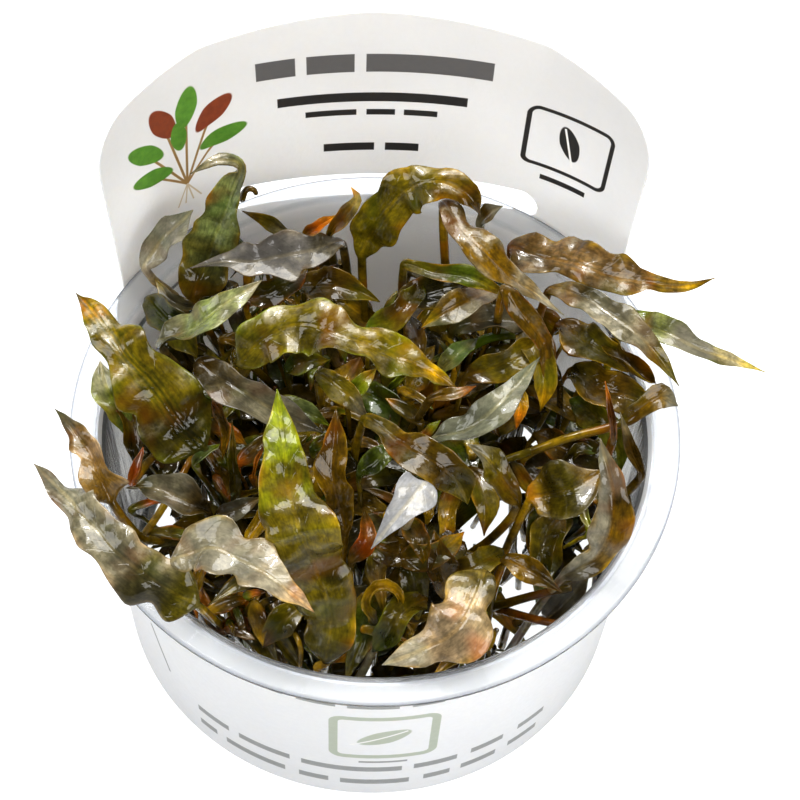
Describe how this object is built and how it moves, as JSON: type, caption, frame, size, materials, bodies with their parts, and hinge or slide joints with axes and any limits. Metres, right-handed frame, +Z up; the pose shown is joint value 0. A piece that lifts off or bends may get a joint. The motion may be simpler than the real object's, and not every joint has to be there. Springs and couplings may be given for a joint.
{
  "type": "potted aquarium plant",
  "caption": "Clear tissue-culture cup with a card sleeve and back panel, crammed with brown, olive and silver waved leaves on stalks from crowns in gel.",
  "frame": {"origin": "centre of the cup's flat underside", "axes": "+Z up, -Y the front of the cup, with the card panel standing at +Y"},
  "size_m": [0.1191, 0.1031, 0.0963],
  "materials": {
    "clear_plastic": "clear, thin moulded plastic",
    "card": "smooth pale grey card with a satin coat",
    "gel": "clear, faintly milky gel",
    "crown": "wet, brown and knobbly",
    "leaf_olive": "wet and glossy",
    "leaf_brown": "wet and glossy",
    "leaf_dark": "wet and glossy",
    "leaf_green": "wet and glossy",
    "leaf_gold": "wet and glossy",
    "leaf_red": "wet and glossy",
    "leaf_mauve": "wet and glossy",
    "leaf_silver": "wet, with a silver shine",
    "leaf_pale": "wet, thin and translucent"
  },
  "bodies": {
    "root": {"cup": "clear_plastic", "label_sleeve": "card", "growth_gel": "gel", "crown_west": "crown", "crown_northwest": "crown", "crown_north": "crown", "crown_northeast": "crown", "crown_east": "crown", "crown_southeast": "crown", "crown_south": "crown", "crown_southwest": "crown", "crown_middle": "crown", "leaf_left_long": "leaf_olive", "leaf_left_low": "leaf_mauve", "leaf_left_curled": "leaf_brown", "leaf_left_pale": "leaf_pale", "leaf_small_orange": "leaf_red", "leaf_left_boat": "leaf_silver", "leaf_front_grey": "leaf_silver", "leaf_centre_green": "leaf_green", "leaf_centre_brown": "leaf_brown", "leaf_brown_rolled": "leaf_brown", "leaf_top_long": "leaf_olive", "leaf_left_green_grey": "leaf_pale", "leaf_back_lavender": "leaf_silver", "leaf_back_tall": "leaf_olive", "leaf_back_silver": "leaf_silver", "leaf_small_arch": "leaf_olive", "leaf_cupped_left": "leaf_olive", "leaf_top_arch": "leaf_gold", "leaf_top_sliver": "leaf_olive", "leaf_hanging_grey": "leaf_silver", "leaf_small_dark": "leaf_dark", "leaf_right_top": "leaf_mauve", "leaf_right_long": "leaf_silver", "leaf_far_right": "leaf_pale", "leaf_right_cupped": "leaf_olive", "leaf_right_dark": "leaf_dark", "leaf_narrow_red": "leaf_red", "leaf_right_black": "leaf_dark", "leaf_right_mauve": "leaf_mauve", "leaf_right_round": "leaf_olive", "leaf_silver_top": "leaf_silver", "leaf_silver_hanging": "leaf_silver", "leaf_centre_olive": "leaf_mauve", "leaf_silver_triangle": "leaf_silver", "leaf_bottom_beige": "leaf_mauve", "leaf_low_brown": "leaf_brown", "leaf_low_dark": "leaf_dark", "leaf_orange_wavy": "leaf_gold", "leaf_low_right": "leaf_dark", "leaf_bottom_olive": "leaf_olive", "leaf_bottom_yellow": "leaf_gold", "leaf_fan": "leaf_gold", "leaf_fan_back": "leaf_olive", "leaf_hanging_brown": "leaf_brown", "leaf_mid_olive": "leaf_olive", "leaf_mid_green": "leaf_green", "leaf_mid_brown": "leaf_brown"}
  },
  "joints": []
}
